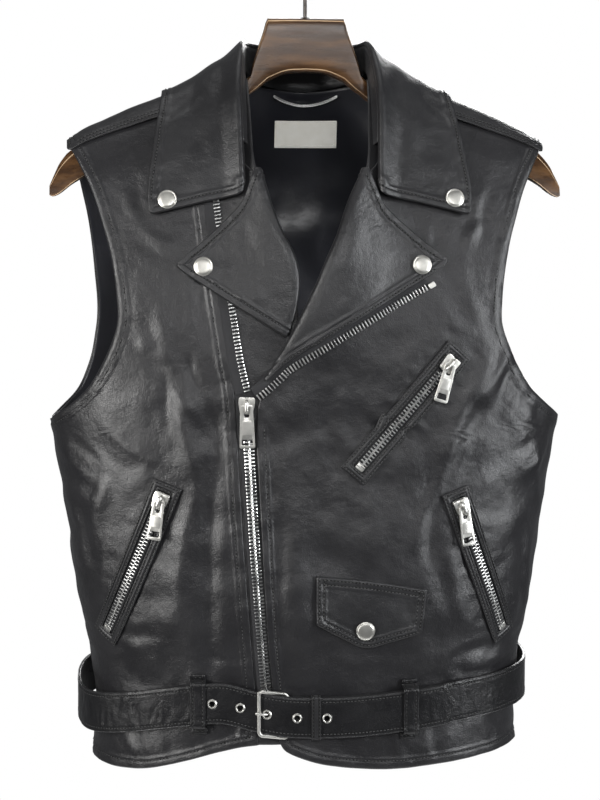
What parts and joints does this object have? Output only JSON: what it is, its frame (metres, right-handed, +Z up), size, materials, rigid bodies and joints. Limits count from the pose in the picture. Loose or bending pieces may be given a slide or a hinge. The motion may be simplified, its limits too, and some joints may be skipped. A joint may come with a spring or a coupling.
{
  "type": "leather vest on a wooden hanger",
  "caption": "Sleeveless zip-front leather vest with notched lapels, collar, zip pockets and belt, hung open-necked on a contoured wooden hanger.",
  "frame": {"origin": "the point inside the hanger's hook where a rail bears", "axes": "+Z up, -Y to the front of the vest, +X to the wearer's left"},
  "size_m": [0.4552, 0.198, 0.7206],
  "materials": {
    "leather": "semi-gloss smooth lambskin",
    "lining": "satin",
    "label": "matt woven",
    "nickel": "satin nickel plate",
    "steel": "dark bronzed wire",
    "tape": "matt woven zip tape",
    "wood": "varnished walnut brown"
  },
  "bodies": {
    "root": {"back": "leather", "front_left": "leather", "front_right": "leather", "front_extension": "leather", "lapel_left": "leather", "lapel_right": "leather", "collar": "leather", "collar_stand": "leather", "epaulette_left": "leather", "epaulette_right": "leather", "lining_back": "lining", "neck_label": "label", "hang_loop": "nickel", "zip_main_closed": "tape", "zip_main_left": "tape", "zip_main_right": "tape", "slider_main": "nickel", "welt_chest": "leather", "zip_chest": "tape", "slider_chest": "nickel", "welt_hand_left": "leather", "zip_hand_left": "tape", "slider_hand_left": "nickel", "welt_hand_right": "leather", "zip_hand_right": "tape", "slider_hand_right": "nickel", "coin_flap": "leather", "snap_collar_left": "nickel", "snap_collar_right": "nickel", "snap_lapel_left": "nickel", "snap_lapel_right": "nickel", "snap_coin_flap": "nickel", "belt_strap": "leather", "eyelet_1": "nickel", "eyelet_2": "nickel", "eyelet_3": "nickel", "eyelet_4": "nickel", "eyelet_5": "nickel", "buckle_frame": "nickel", "buckle_prong": "nickel", "belt_keeper": "leather", "belt_loop_front_left": "leather", "belt_loop_front_right": "leather", "belt_loop_back_left": "leather", "belt_loop_back_right": "leather", "hanger_body": "wood", "hanger_hook": "steel"},
    "pull_tab_main": {"pull_main": "nickel"},
    "pull_tab_chest": {"pull_chest": "nickel"},
    "pull_tab_hand_left": {"pull_hand_left": "nickel"},
    "pull_tab_hand_right": {"pull_hand_right": "nickel"}
  },
  "joints": [
    {"name": "pull_main_swing", "type": "hinge", "parent": "root", "child": "pull_tab_main", "pos_m": [-0.05756, -0.09699, -0.3968], "axis": [-0.9977, 0.065, -0.02], "range_deg": [0, 150]},
    {"name": "pull_chest_swing", "type": "hinge", "parent": "root", "child": "pull_tab_chest", "pos_m": [0.118, -0.08938, -0.36281], "axis": [-0.9476, -0.1602, 0.2764], "range_deg": [0, 150]},
    {"name": "pull_hand_left_swing", "type": "hinge", "parent": "root", "child": "pull_tab_hand_left", "pos_m": [0.12999, -0.0913, -0.48652], "axis": [-0.9568, -0.2494, -0.1494], "range_deg": [0, 150]},
    {"name": "pull_hand_right_swing", "type": "hinge", "parent": "root", "child": "pull_tab_hand_right", "pos_m": [-0.13196, -0.09089, -0.4783], "axis": [-0.9566, 0.25, 0.1494], "range_deg": [0, 150]}
  ]
}
